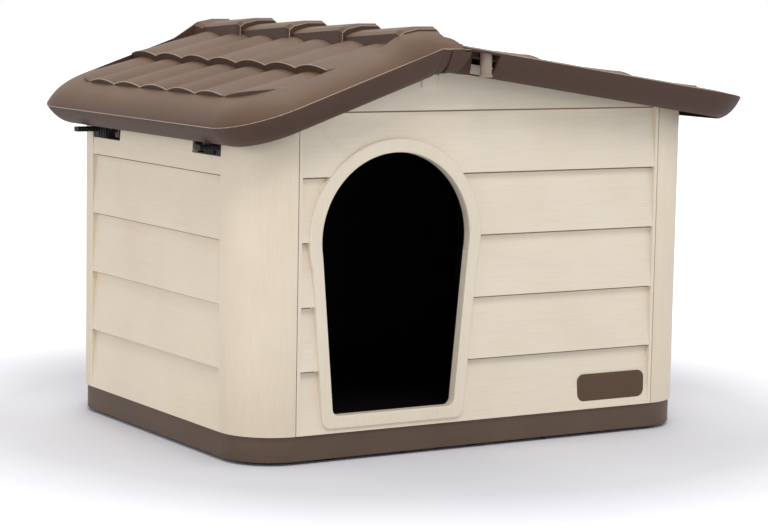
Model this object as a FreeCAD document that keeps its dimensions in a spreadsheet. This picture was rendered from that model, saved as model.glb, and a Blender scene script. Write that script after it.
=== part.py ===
import FreeCAD, Part
import math
import os
import re
import Sketcher
from FreeCAD import Placement, Rotation, Vector

# Dog house: a cabin of clapboard panels on a moulded tray, under two tiled roof
# halves that open like wings about one ridge axis and lock with four slides.
# Millimetres, X along the front, Y towards the back, Z up, origin on the ground
# under the middle of the whole outline.

# Cabin
CABIN_WIDTH = 516.0
CABIN_DEPTH = 388.5
CORNER_RADIUS = 52.0
WALL_SKIN = 9.0
BOARD_HEIGHT = 60.0
BOARD_LEAN = 5.0
SEAM_INSET = 52.4
SEAM_GAP = 0.9
SIDING_INSET = 3.4
SIDE_SIDING_INSET = 55.8
FLANGE_WIDTH = 14.0
FLANGE_SKIN = 3.0

# Tray
TRAY_HEIGHT = 27.0
TRAY_INSET = 2.0
TRAY_TAPER = 3.0
TRAY_RIM = 12.0
TRAY_FLOOR = 4.0
TRAY_UPSTAND = 14.0
RIB_SKIN = 4.0

# Doorway and name plate
DOOR_FROM_LEFT = 157.8
DOOR_SILL = 16.5
DOOR_SPRING = 180.0
DOOR_FOOT = 66.9
DOOR_ARCH = 81.3
RING_SILL = 4.2
RING_FOOT = 77.7
RING_SPRING = 92.6
RING_ARCH = 94.2
RING_PROUD = 2.0
PLATE_FROM_RIGHT = 60.6
PLATE_WIDTH = 82.2
PLATE_RISE = 7.8
PLATE_HEIGHT = 27.0
PLATE_CORNER = 7.8
PLATE_RECESS = 3.0
PLATE_SKIN = 2.0

# Roof
OVERHANG_LEFT = 30.0
OVERHANG_RIGHT = 51.6
OVERHANG_GABLE = 39.6
SLOPE_LEFT = 19.19
SLOPE_RIGHT = 8.42
ROOF_CORNER = 61.2
RIDGE_FROM_LEFT = 191.4
RIDGE_HEIGHT = 356.4
RIDGE_COVER = 6.0
FASCIA_DEPTH = 24.0
FASCIA_TUCK = 18.0
BORDER_WIDTH = 48.0
BORDER_RISE_LEFT = 15.6
BORDER_RISE_RIGHT = 3.2
ROOF_SKIN = 3.5
CROWN_LEFT = 20.0
CROWN_RIGHT = 6.6
TILE_FALL_LEFT = 6.6
TILE_FALL_RIGHT = 4.6
TILE_DIP = 4.2
TILE_MARGIN = 30.6
FIELD_START_LEFT = 36.6
FIELD_START_RIGHT = 34.0
FIELD_CORNER = 60.0
ROW_LEFT = 78.9
ROW_RIGHT = 112.2
TILE_COLUMNS = 7
ROOF_REST = 5.5
REST_SKIN = 3.0
REST_PITCH = 120.0
CAP_PITCH = 103.2
CAP_LAST = 86.4
CAP_STEP = 6.6
CAP_PINCH = 5.4
CAP_LIP = 2.4

# Ridge hinge
KNUCKLE_RADIUS = 21.0
SHOULDER_RADIUS = 13.0
SWEEP_RADIUS = 23.4
SWEEP_ANGLE = 30.0
STEP_ANGLE = 3.0
SOCKET_GAP = 0.4
BAR_LEVEL = 2.0
LUG_GAP_LOW = 184.5
LUG_GAP_HIGH = 211.0
EAR_LOW = 197.0
EAR_HIGH = 208.0
WEB_LEFT = 10.0
WEB_RIGHT = 34.0
PIN_RADIUS = 4.0
PIN_SLACK = 0.05
PIN_HEAD = 2.5
LUG_RADIUS = 12.0
EAR_RADIUS = 12.5
PEG_RADIUS = 6.5
PEG_FROM_HINGE = 42.9
PEG_FROM_GABLE = 9.8
RECESS_START = 326.0
RECESS_END = 361.5
RECESS_DEPTH = 17.8
RECESS_SKIN = 2.0

# Latches
NOTCH_FROM_MIDDLE = 78.45
NOTCH_LENGTH = 60.6
NOTCH_DROP_LEFT = 28.7
NOTCH_DROP_RIGHT = 34.9
LATCH_LENGTH = 34.0
TONGUE_REACH = 6.5
HOOK_LENGTH = 9.0
TAB_LEFT = 21.0
TAB_RIGHT = 10.0
TAB_SKIN = 5.0
TAB_RISE_LEFT = 6.2
TAB_RISE_RIGHT = 9.0
FIT_GAP = 0.3

# Screws
SCREW_RADIUS = 2.0
SCREW_HEAD_RADIUS = 4.0
SCREW_HEAD = 2.6
SCREW_BITE = 6.0
SCREW_FIRST = 43.0
SCREW_PITCH = 80.0
BASE_SCREW_PITCH = 110.0

doc = FreeCAD.newDocument("dog_house")
sheet = doc.addObject("Spreadsheet::Sheet", "sizes")
SIZE = {name.lower(): float(number) for name, number in sorted(globals().items())
        if name.isupper() and isinstance(number, (int, float))}
for row, (alias, number) in enumerate(SIZE.items(), 1):
    sheet.set("A%d" % row, alias)
    sheet.set("B%d" % row, repr(number))
    sheet.setAlias("B%d" % row, alias)
doc.recompute()

# Places that follow from the sizes.
DERIVED = {
    "base_top": "(tray_height)",
    "wall_left": "((overhang_left-overhang_right-cabin_width)/2)",
    "wall_right": "((overhang_left-overhang_right+cabin_width)/2)",
    "wall_depth": "(cabin_depth/2)",
    "skin": "(wall_skin)",
    "seam_left": "(wall_left+seam_inset)",
    "seam_right": "(wall_right-seam_inset)",
    "siding_side": "(cabin_depth/2-side_siding_inset)",
    "eave_left": "(wall_left-overhang_left)",
    "eave_right": "(wall_right+overhang_right)",
    "gable": "(cabin_depth/2+overhang_gable)",
    "hinge_x": "(wall_left+ridge_from_left)",
    "hinge_z": "(tray_height+ridge_height)",
    "rim_left_z": "(hinge_z+ridge_cover-(hinge_x-eave_left)*tan(slope_left))",
    "rim_right_z": "(hinge_z+ridge_cover-(eave_right-hinge_x)*tan(slope_right))",
    "floor_left": "(crown_left-tile_fall_left-tile_dip-1)",
    "floor_right": "(crown_right-tile_fall_right-tile_dip-1)",
    "ceiling_left": "(floor_left-roof_skin)",
    "ceiling_right": "(floor_right-roof_skin)",
    "lift_left": "(ceiling_left-roof_rest)",
    "lift_right": "(ceiling_right-roof_rest)",
    "siding_left": "(seam_left+siding_inset)",
    "siding_right": "(seam_right-siding_inset)",
    "neck_foot": "(hinge_z-knuckle_radius-14)",
    "door_x": "(wall_left+door_from_left)",
    "sill": "(tray_height+door_sill)",
    "spring": "(tray_height+door_spring)",
    "plate_right": "(wall_right-plate_from_right)",
    "plate_left": "(plate_right-plate_width)",
    "plate_low": "(tray_height+plate_rise)",
    "plate_high": "(plate_low+plate_height)",
    "notch_inner": "(notch_from_middle)",
    "notch_outer": "(notch_from_middle+notch_length)",
    "notch_left_z": "(rim_left_z-notch_drop_left)",
    "notch_right_z": "(rim_right_z-notch_drop_right)",
    "wall_screw_left": "(seam_left-8)",
    "wall_screw_right": "(seam_right+8)",
}


def unfold(text):
    """An expression with every derived place written out in sizes."""
    text = str(text)
    while True:
        bigger = re.sub(r"[a-z][a-z0-9_]*", lambda word: DERIVED.get(word.group(0), word.group(0)), text)
        if bigger == text:
            return text
        text = bigger


def formula(text):
    """The expression with every alias written as a cell of the sheet."""
    swap = lambda word: "sizes." + word.group(0) if word.group(0) in SIZE else word.group(0)
    return re.sub(r"[a-z][a-z0-9_]*", swap, unfold(text))


def bind(obj, prop, text):
    obj.setExpression(prop, formula(text))


def value(text):
    """The number an expression stands for."""
    total = sheet.evalExpression(formula(text))
    return float(getattr(total, "Value", total))


def place(obj, x=0, y=0, z=0):
    for prop, text in (("x", x), ("y", y), ("z", z)):
        if text != 0:
            bind(obj, "Placement.Base." + prop, text)
    return obj


def box(label, x, y, z):
    """A box between pairs of expressions."""
    solid = doc.addObject("Part::Box", label)
    for prop, (low, high) in (("Length", x), ("Width", y), ("Height", z)):
        bind(solid, prop, "(%s)-(%s)" % (high, low))
    return place(solid, x[0], y[0], z[0])


TURN = {"x": Rotation(Vector(0, 1, 0), 90), "y": Rotation(Vector(1, 0, 0), -90), "z": Rotation()}


def rod(label, axis, radius, length, x, y, z):
    """A cylinder along one axis from a start point."""
    solid = doc.addObject("Part::Cylinder", label)
    solid.Placement = Placement(Vector(), TURN[axis])
    bind(solid, "Radius", radius)
    bind(solid, "Height", length)
    return place(solid, x, y, z)


PLANE = {"xy": Rotation(), "xz": Rotation(Vector(1, 0, 0), 90), "yz": Rotation(Vector(1, 1, 1), 120)}
NORMAL = {"xy": Vector(0, 0, 1), "xz": Vector(0, 1, 0), "yz": Vector(1, 0, 0)}


def outline(label, plane, points):
    """A closed sketch of straight lines whose corners are expressions."""
    sketch = doc.addObject("Sketcher::SketchObject", label + "_outline")
    sketch.Placement = Placement(Vector(), PLANE[plane])
    guess = [Vector(value(u), value(v), 0) for u, v in points]
    count = len(points)
    for index in range(count):
        sketch.addGeometry(Part.LineSegment(guess[index], guess[(index + 1) % count]))
    for index in range(count):
        sketch.addConstraint(Sketcher.Constraint("Coincident", index, 2, (index + 1) % count, 1))
    for index, (u, v) in enumerate(points):
        for kind, text, start in (("DistanceX", u, guess[index].x), ("DistanceY", v, guess[index].y)):
            number = sketch.addConstraint(Sketcher.Constraint(kind, -1, 1, index, 1, start))
            bind(sketch, "Constraints[%d]" % number, text)
    return sketch


def prism(label, plane, points, start, length):
    """A straight extrusion of an outline, square to its plane."""
    sketch = outline(label, plane, points)
    along = {"xy": "z", "xz": "y", "yz": "x"}[plane]
    place(sketch, **{along: start})
    solid = doc.addObject("Part::Extrusion", label)
    solid.Base = sketch
    solid.DirMode = "Custom"
    solid.Dir = NORMAL[plane]
    solid.Solid = True
    bind(solid, "LengthFwd", length)
    return solid


def fuse(label, parts):
    solid = doc.addObject("Part::MultiFuse", label)
    solid.Shapes = parts
    solid.Refine = True
    return solid


def cut(label, base, tools):
    solid = doc.addObject("Part::Cut", label)
    solid.Base = base
    solid.Tool = tools[0] if len(tools) == 1 else fuse(label + "_tools", tools)
    solid.Refine = True
    return solid


def common(label, first, second):
    solid = doc.addObject("Part::MultiCommon", label)
    solid.Shapes = [first, second]
    return solid


def rounded(label, base, radius, test):
    """Round the edges of base that pass the test."""
    doc.recompute()
    edges = [i for i, edge in enumerate(base.Shape.Edges, 1) if test(edge)]
    solid = doc.addObject("Part::Fillet", label)
    solid.Base = base
    solid.Edges = [(i, radius, radius) for i in edges]
    return solid


def upright(edge):
    box_ = edge.BoundBox
    return box_.ZLength > 1 and box_.XLength < 0.01 and box_.YLength < 0.01


def at(axis, level):
    """A test for edges lying flat at one level of an axis."""
    def test(edge):
        box_ = edge.BoundBox
        spans = {"x": (box_.XMin, box_.XMax), "y": (box_.YMin, box_.YMax), "z": (box_.ZMin, box_.ZMax)}
        low, high = spans[axis]
        return abs(low - level) < 0.01 and abs(high - level) < 0.01
    return test


pieces = {}


def finish(label, solid):
    solid.Label = label
    pieces[label] = solid




# Base tray: a tapered moulding, hollow underneath with a grid of ribs, and an
# upright flange inside the walls.
tray = box("tray_block", ("wall_left+tray_inset", "wall_right-tray_inset"),
           ("-wall_depth+tray_inset", "wall_depth-tray_inset"), ("0", "base_top"))
tray = rounded("tray_round", tray, value("corner_radius-tray_inset"), upright)
doc.recompute()
bottom = [i for i, e in enumerate(tray.Shape.Edges, 1) if at("z", 0)(e)]
taper = doc.addObject("Part::Chamfer", "tray_taper")
taper.Base = tray
taper.Edges = [(i, TRAY_TAPER, TRAY_HEIGHT - 3) for i in bottom]
tray = rounded("tray_edge", taper, 2.5, at("z", 0))
under = box("under_block", ("wall_left+tray_rim", "wall_right-tray_rim"),
            ("-wall_depth+tray_rim", "wall_depth-tray_rim"), ("-5", "base_top-tray_floor"))
under = rounded("under_round", under, value("corner_radius-tray_rim"), upright)
middle = value("(wall_left+wall_right)/2")
across = (CABIN_WIDTH - 2 * TRAY_RIM) / 6
ribs = []
for k in (-1, 0, 1):
    y = "%d*(wall_depth-tray_rim)/2" % k
    ribs.append(box("rib_x%d" % k, ("wall_left+tray_rim-2", "wall_right-tray_rim+2"),
                    (y + "-rib_skin/2", y + "+rib_skin/2"), ("0", "base_top-1")))
for k in (-2, -1, 0, 1, 2):
    x = "(wall_left+wall_right)/2+%d*(cabin_width-2*tray_rim)/6" % k
    ribs.append(box("rib_y%d" % k, (x + "-rib_skin/2", x + "+rib_skin/2"),
                    ("-wall_depth+tray_rim-2", "wall_depth-tray_rim+2"), ("0", "base_top-1")))
rim_out = rounded("rim_out", box("rim_out_block", ("wall_left+skin", "wall_right-skin"),
                  ("-wall_depth+skin", "wall_depth-skin"), ("base_top-1", "base_top+tray_upstand")),
                  value("corner_radius-skin"), upright)
rim_in = rounded("rim_in", box("rim_in_block", ("wall_left+skin+3", "wall_right-skin-3"),
                 ("-wall_depth+skin+3", "wall_depth-skin-3"), ("base_top-3", "base_top+tray_upstand+1")),
                 value("corner_radius-skin-3"), upright)
door_gap = box("tray_rim_gap", ("door_x-ring_spring", "door_x+ring_spring"),
               ("-wall_depth", "-wall_depth+skin+6"), ("base_top", "base_top+tray_upstand+6"))
upstand = cut("tray_rim_cut", cut("tray_rim_ring", rim_out, [rim_in]), [door_gap])
tray_all = fuse("tray_all", [cut("tray_shell", tray, [under]), upstand] + ribs)


# Screws: a pan head with a crossed recess on a plain shank.
def screw(label, axis, sign, x, y, z):
    """A screw whose shank runs along sign*axis from its head's seat."""
    spot = {"x": x, "y": y, "z": z}

    def piece(tag, radius, offset, size):
        low = offset if sign > 0 else "-(%s)-(%s)" % (offset, size)
        start = dict(spot)
        start[axis] = "%s+(%s)" % (spot[axis], low)
        return rod(label + tag, axis, radius, size, start["x"], start["y"], start["z"])

    head = piece("_head", "screw_head_radius", "-screw_head", "screw_head")
    shank = piece("_shank", "screw_radius", "0", "flange_skin+screw_bite")
    other = "y" if axis == "x" else "x"
    slots = []
    for tag, wide, tall in (("_slot_a", 2.4, 0.4), ("_slot_b", 0.4, 2.4)):
        half = {other: wide, "z": tall}
        deep = ("-screw_head-1", "-screw_head+1.4") if sign > 0 else ("screw_head-1.4", "screw_head+1")
        limits = {}
        for name in ("x", "y", "z"):
            pair = deep if name == axis else ("-%g" % half[name], "%g" % half[name])
            limits[name] = ("%s+(%s)" % (spot[name], pair[0]), "%s+(%s)" % (spot[name], pair[1]))
        slots.append(box(label + tag, limits["x"], limits["y"], limits["z"]))
    return cut(label + "_body", fuse(label + "_blank", [head, shank]), slots)


def screw_hole(label, axis, sign, x, y, z):
    spot = {"x": x, "y": y, "z": z}
    spot[axis] = "%s-(%s)" % (spot[axis], "0.5" if sign > 0 else "flange_skin+screw_bite+0.2")
    return rod(label, axis, "screw_radius", "flange_skin+screw_bite+0.7", spot["x"], spot["y"], spot["z"])


ENDS = (("front", -1), ("rear", 1))
WALL_SCREW_Z = ["base_top+screw_first+%d*screw_pitch" % k for k in range(3)]
BASE_SCREW_Y = ["%d*base_screw_pitch" % k for k in (-1, 0, 1)]
BASE_SCREW_Z = "base_top+tray_upstand/2"
base_screw_parts = []
base_holes = []
for tag, sign, seat in (("left", -1, "wall_left+skin+3"), ("right", 1, "wall_right-skin-3")):
    for k, y in enumerate(BASE_SCREW_Y):
        base_screw_parts.append(screw("base_screw_%s%d" % (tag, k), "x", sign, seat, y, BASE_SCREW_Z))
        base_holes.append(screw_hole("base_hole_%s%d" % (tag, k), "x", sign, seat, y, BASE_SCREW_Z))
finish("base_tray", cut("base_tray_solid", tray_all, base_holes))
finish("base_screws", fuse("base_screws_set", base_screw_parts))

SKY = "base_top+ridge_height+60"
BOARDS = int(math.ceil((RIDGE_HEIGHT + 20) / BOARD_HEIGHT))


# Everything above the roof's underside is taken off the walls by two slanted blocks.
def sky(label, side):
    block = doc.addObject("Part::Box", label)
    bind(block, "Length", "2*(eave_right-eave_left)")
    bind(block, "Width", "4*gable")
    bind(block, "Height", "ridge_height")
    if side == "left":
        block.Placement = Placement(Vector(), Rotation(Vector(0, 1, 0), -1))
        bind(block, "Placement.Rotation.Angle", "slope_left")
        bind(block, "Placement.Rotation.Axis.y", "-1")
        place(block, "eave_left", "-2*gable", "rim_left_z+lift_left/cos(slope_left)")
    else:
        block.Placement = Placement(Vector(), Rotation(Vector(0, 1, 0), 1))
        bind(block, "Placement.Rotation.Angle", "slope_right")
        place(block, "eave_right-2*(eave_right-eave_left)*cos(slope_right)", "-2*gable",
              "rim_right_z+lift_right/cos(slope_right)+2*(eave_right-eave_left)*sin(slope_right)")
    return block


def boards(label, plane, proud, inward, low, long):
    """The wedges taken off between the boards: each board leans back to its top."""
    wedges = []
    for k in range(BOARDS):
        foot = "base_top+%d*board_height" % k
        outside = "%s-(%s)*3" % (proud, inward)
        points = [(proud, foot), (outside, foot), (outside, foot + "+board_height"),
                  ("%s+(%s)*board_lean" % (proud, inward), foot + "+board_height")]
        wedges.append(prism("%s_%d" % (label, k), plane, points, low, long))
    return wedges


def inset_block(label, inset, low, high):
    """The cabin's rounded outline, drawn in by an inset."""
    block = box(label + "_block", ("wall_left+(%s)" % inset, "wall_right-(%s)" % inset),
                ("-wall_depth+(%s)" % inset, "wall_depth-(%s)" % inset), (low, high))
    return rounded(label, block, value("corner_radius-(%s)" % inset), upright)


def side_wall(side):
    """A side wall with its two rounded corners, latch notches and slide rails."""
    sign = 1 if side == "left" else -1
    face = "wall_" + side
    ring = cut(side + "_ring", inset_block(side + "_outer", "0", "base_top", SKY),
               [inset_block(side + "_inner", "skin", "base_top-5", SKY + "+5")])
    half = box(side + "_half", ("wall_left-10", "seam_left-seam_gap") if sign > 0 else
               ("seam_right+seam_gap", "wall_right+10"), ("-2*gable", "2*gable"), ("0", SKY + "+9"))
    tools = boards(side + "_board", "xz", face, str(sign), "-siding_side", "2*siding_side")
    tools += [sky(side + "_sky_a", "left"), sky(side + "_sky_b", "right")]
    rails = []
    span = lambda a, b: ("%s+%s" % (face, a), "%s+%s" % (face, b)) if sign > 0 else (
        "%s-%s" % (face, b), "%s-%s" % (face, a))
    for tag, end in ENDS:
        low, high = ("-notch_outer", "-notch_inner") if end < 0 else ("notch_inner", "notch_outer")
        tools.append(box("%s_%s_notch" % (side, tag), span("(-1)", "(skin+1)"), (low, high),
                         ("notch_%s_z" % side, SKY)))
        rails.append(box("%s_%s_rail" % (side, tag), span("(skin-1)", "(skin+4)"), (low + "-3", high + "+3"),
                         ("notch_%s_z-16" % side, "notch_%s_z-12" % side)))
    for k, y in enumerate(BASE_SCREW_Y):
        seat = face + ("+skin+3" if sign > 0 else "-skin-3")
        tools.append(screw_hole("%s_foot_hole%d" % (side, k), "x", -sign, seat, y, BASE_SCREW_Z))
    for tag, end in ENDS:
        for k, z in enumerate(WALL_SCREW_Z):
            tools.append(screw_hole("%s_%s_hole%d" % (side, tag, k), "y", end, "wall_screw_" + side,
                                    "%d*(wall_depth-skin-flange_skin)" % end, z))
    body = cut(side + "_trim", common(side + "_part", ring, half), tools)
    finish(side + "_wall", fuse(side + "_wall_solid", [body] + rails))


side_wall("left")
side_wall("right")
for side in ("left", "right"):
    for tag, end in ENDS:
        seat = "%d*(wall_depth-skin-flange_skin)" % end
        parts = [screw("wall_screw_%s_%s%d" % (tag, side, k), "y", end, "wall_screw_" + side, seat, z)
                 for k, z in enumerate(WALL_SCREW_Z)]
        finish("wall_screws_%s_%s" % (tag, side), fuse("wall_screws_%s_%s_set" % (tag, side), parts))


def gable_wall(name, end):
    """A front or rear panel between the seams, with fixing flanges and a ridge lug."""
    face = "%d*wall_depth" % end
    inner = "%d*(wall_depth-skin)" % end
    order = lambda a, b: (a, b) if end < 0 else (b, a)
    slab = box(name + "_slab", ("seam_left", "seam_right"), order(face, inner), ("base_top", SKY))
    outer = inset_block(name + "_collar_outer", "skin", "base_top+tray_upstand+2", SKY)
    inside = inset_block(name + "_collar_inner", "skin+flange_skin", "base_top", SKY + "+5")
    collar = cut(name + "_collar", outer, [inside])
    wings = []
    for tag, seam in (("l", "seam_left"), ("r", "seam_right")):
        strip = box("%s_strip_%s" % (name, tag), (seam + "-flange_width", seam + "+flange_width"),
                    order("%d*2*gable" % end, "%d*wall_depth/2" % end), ("base_top", SKY))
        wings.append(common("%s_wing_%s" % (name, tag), collar, strip))
    tools = boards(name + "_board", "yz", face, str(-end), "wall_left+seam_inset+siding_inset",
                   "cabin_width-2*(seam_inset+siding_inset)")
    tools += [sky(name + "_sky_a", "left"), sky(name + "_sky_b", "right")]
    deep = order("%d*(wall_depth+5)" % end, "%d*(wall_depth-skin-flange_skin-5)" % end)
    tools.append(rod(name + "_bite", "y", "knuckle_radius+5", "skin+flange_skin+10",
                     "hinge_x", deep[0], "hinge_z"))
    tools.append(box(name + "_bite_top", ("hinge_x-knuckle_radius-5", "hinge_x+knuckle_radius+5"), deep,
                     ("hinge_z", SKY)))
    for side in ("left", "right"):
        for k, z in enumerate(WALL_SCREW_Z):
            tools.append(screw_hole("%s_%s_hole%d" % (name, side, k), "y", end, "wall_screw_" + side,
                                    "%d*(wall_depth-skin-flange_skin)" % end, z))
            seat = "%d*(wall_depth-skin-flange_skin)" % end
            tools.append(rod("%s_%s_seat%d" % (name, side, k), "y", "screw_head_radius+fit_gap", "4",
                             "wall_screw_" + side, order(seat, seat + "-(%d)*4" % end)[0], z))
    trimmed = cut(name + "_trim", fuse(name + "_blank", [slab] + wings), tools)
    span = order(face, inner)
    lug = rod(name + "_lug", "y", "lug_radius", "skin", "hinge_x", span[0], "hinge_z")
    neck = box(name + "_neck", ("hinge_x-8", "hinge_x+8"), span, ("neck_foot", "hinge_z"))
    bore = rod(name + "_bore", "y", "pin_radius", "skin+2", "hinge_x", span[0] + "-1", "hinge_z")
    return cut(name + "_lugged", fuse(name + "_with_lug", [trimmed, lug, neck]), [bore])


finish("rear_panel", gable_wall("rear", 1))

# Door: an arched opening that widens upwards, framed by a raised ring.
front = gable_wall("front", -1)
deep_edge = lambda low: lambda e: e.BoundBox.YLength > 5 and e.BoundBox.ZMax < low
ring_points = [("door_x-ring_foot", "tray_height+ring_sill"), ("door_x+ring_foot", "tray_height+ring_sill"),
               ("door_x+ring_spring", "spring"), ("door_x-ring_spring", "spring")]
ring_leg = prism("ring_leg", "xz", ring_points, "-wall_depth-ring_proud", "skin+ring_proud")
ring_leg = rounded("ring_leg_round", ring_leg, 9, deep_edge(value("tray_height+ring_sill+5")))
ring_arch = rod("ring_arch_disc", "y", "ring_arch", "skin+ring_proud",
                "door_x", "-wall_depth-ring_proud", "spring")
door_points = [("door_x-door_foot", "sill"), ("door_x+door_foot", "sill"),
               ("door_x+door_arch", "spring"), ("door_x-door_arch", "spring")]
door_leg = prism("door_leg", "xz", door_points, "-wall_depth-20", "60")
door_leg = rounded("door_leg_round", door_leg, 7, deep_edge(value("sill+5")))
door_arch = rod("door_arch_disc", "y", "door_arch", "60", "door_x", "-wall_depth-20", "spring")
framed = cut("front_framed", fuse("front_ringed", [front, fuse("ring_blank", [ring_leg, ring_arch])]),
             [fuse("door_hole", [door_leg, door_arch])])
framed = rounded("front_eased", framed, 1.2, at("y", value("-wall_depth-ring_proud")))
pocket = box("plate_pocket_block", ("plate_left", "plate_right"),
             ("-wall_depth-5", "-wall_depth+plate_recess"), ("plate_low", "plate_high"))
pocket = rounded("plate_pocket", pocket, PLATE_CORNER, lambda e: e.BoundBox.YLength > 5)
finish("front_panel", cut("front_panel_solid", framed, [pocket]))

# Name plate: a bare tablet let into the panel.
plate = box("plate_block", ("plate_left+0.1", "plate_right-0.1"),
            ("-wall_depth+plate_recess-plate_skin", "-wall_depth+plate_recess"),
            ("plate_low+0.1", "plate_high-0.1"))
short_edge = lambda e: e.BoundBox.YLength > 1 and e.BoundBox.XLength < 0.01 and e.BoundBox.ZLength < 0.01
plate = rounded("plate_round", plate, PLATE_CORNER - 0.1, short_edge)
plate_face = value("-wall_depth+plate_recess-plate_skin")
finish("name_plate", rounded("plate_eased", plate, 0.8, at("y", plate_face)))

# Hinge pins: one at each gable, a headed rod along the ridge axis.
PIN_TIP = "(wall_depth-skin-14)"
PIN_SEAT = "(wall_depth+14.05)"
for tag, end in ENDS:
    order = lambda a, b: (a, b) if end < 0 else (b, a)
    tip, seat, head = "%d*%s" % (end, PIN_TIP), "%d*%s" % (end, PIN_SEAT), "%d*(%s+2)" % (end, PIN_SEAT)
    low = order(seat, tip)[0]
    stem = rod("hinge_stem_" + tag, "y", "pin_radius", PIN_SEAT + "-" + PIN_TIP, "hinge_x", low, "hinge_z")
    low = order(head, seat)[0]
    cap = rod("hinge_head_" + tag, "y", "pin_radius+pin_head", "2", "hinge_x", low, "hinge_z")
    joined = fuse("hinge_blank_" + tag, [stem, cap])
    finish("hinge_pin_" + tag, rounded("hinge_eased_" + tag, joined, 0.8, at("y", value(tip))))

# Latches: a slide astride the wall's rail in each notch, with a finger tab that
# reaches out under the eave and a tongue that runs over the roof's catch.
for side in ("left", "right"):
    sign = 1 if side == "left" else -1
    level = "notch_%s_z" % side
    off = lambda text: "wall_%s+(%d)*(%s)" % (side, sign, text)
    span = lambda a, b: (off(a), off(b)) if sign > 0 else (off(b), off(a))
    for tag, end in ENDS:
        name = "latch_%s_%s" % (tag, side)
        start, stop = "%d*(notch_outer-1)" % end, "%d*(notch_outer-1-latch_length)" % end
        low = start if end < 0 else stop
        points = [("1", "fit_gap"), ("skin+fit_gap", "fit_gap"), ("skin+fit_gap", "-12+fit_gap"),
                  ("skin+4+fit_gap", "-12+fit_gap"), ("skin+4+fit_gap", "-16-fit_gap"),
                  ("skin+fit_gap", "-16-fit_gap"),
                  ("skin+fit_gap", "-21"), ("skin+8", "-21"), ("skin+8", "10"), ("skin+5", "14"), ("1", "14")]
        points = [(off(u), "%s+(%s)" % (level, v)) for u, v in points]
        body = prism(name + "_body", "xz", points, low, "latch_length")
        ends = lambda a, b: ("%d*(notch_outer-(%s))" % (end, a), "%d*(notch_outer-(%s))" % (end, b))
        sides = lambda a, b: ends(a, b) if end < 0 else ends(b, a)
        rise = "tab_rise_" + side
        tab = box(name + "_tab", span("-tab_" + side, "1.5"), sides("1", "11"),
                  ("%s+%s" % (level, rise), "%s+%s+tab_skin" % (level, rise)))
        tab = rounded(name + "_tab_round", tab, 1.5, lambda e: e.BoundBox.XLength > 5)
        tongue = box(name + "_tongue", span("2", "skin-1"), sides("1", "latch_length+tongue_reach"),
                     (level + "+9", level + "+13"))
        grips = []
        for k in range(5):
            grips.append(box("%s_grip%d" % (name, k), span("-0.5", "1.5"),
                             sides("%g" % (14 + 4 * k), "%g" % (16 + 4 * k)), (level + "+1", level + "+13")))
        finish(name, fuse(name + "_solid", [body, tab, tongue] + grips))
doc.recompute()


# Roof halves: each is worked out flat, u up the slope from the eave's rim, v along
# the eave and w square to the slope, then tilted about the eave.
GABLE = value("gable")
HINGE_X, HINGE_Z = value("hinge_x"), value("hinge_z")
EAVE = {side: value("eave_" + side) for side in ("left", "right")}
RIM_Z = {side: value("rim_%s_z" % side) for side in ("left", "right")}
SLOPE = {"left": math.radians(SLOPE_LEFT), "right": math.radians(SLOPE_RIGHT)}
WALL = {side: value("wall_" + side) for side in ("left", "right")}
NOTCH_Z = {side: value("notch_%s_z" % side) for side in ("left", "right")}
CEILING = {side: value("ceiling_" + side) for side in ("left", "right")}
BORE_RADIUS = PIN_RADIUS + PIN_SLACK


def line(first, second):
    return Part.LineSegment(first, second).toShape()


def outline_wire(near, far, wide, radius, height):
    """A closed outline: rounded at the eave, square at the ridge."""
    bend = radius * (1 - math.sqrt(0.5))
    spots = [(far, -wide), (near + radius, -wide), (near + bend, -wide + bend), (near, -wide + radius),
             (near, wide - radius), (near + bend, wide - bend), (near + radius, wide), (far, wide)]
    p = [Vector(u, v, height) for u, v in spots]
    return Part.Wire([line(p[0], p[1]), Part.Arc(p[1], p[2], p[3]).toShape(), line(p[3], p[4]),
                      Part.Arc(p[4], p[5], p[6]).toShape(), line(p[6], p[7]), line(p[7], p[0])])


def skin_loft(rows, far, ruled):
    """A solid through outlines drawn in by each row's inset, at each row's height."""
    wires = [outline_wire(inset, far, GABLE - inset, ROOF_CORNER - inset, height) for inset, height in rows]
    return Part.makeLoft(wires, True, ruled)


def swell(rise, depth):
    """The height of the border above the rim at a depth from it: steep, then level."""
    return rise * (1 - (1 - min(depth / BORDER_WIDTH, 1)) ** 3)


# The undercut edge below the rim, as shares of the fascia's tuck and depth.
FASCIA = ((1.0, -1.0), (0.53, -0.75), (0.17, -0.35), (0.0, 0.0))
SWELL_SHARES = (0, 0.12, 0.25, 0.44, 0.62, 1)


def tile_row(start, end, crown, fall):
    """Barrel tiles side by side, their tops falling towards the ridge."""
    half = GABLE - TILE_MARGIN
    pitch = 2 * half / TILE_COLUMNS
    foot = crown - TILE_DIP
    base = foot - 12
    edges = []
    for k in range(TILE_COLUMNS):
        a = -half + k * pitch
        edges.append(Part.Arc(Vector(start, a, foot), Vector(start, a + pitch / 2, crown),
                              Vector(start, a + pitch, foot)).toShape())
    edges.append(line(Vector(start, half, foot), Vector(start, half, base)))
    edges.append(line(Vector(start, half, base), Vector(start, -half, base)))
    edges.append(line(Vector(start, -half, base), Vector(start, -half, foot)))
    return Part.Face(Part.Wire(edges)).extrude(Vector(end - start, 0, -fall * (end - start)))


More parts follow.
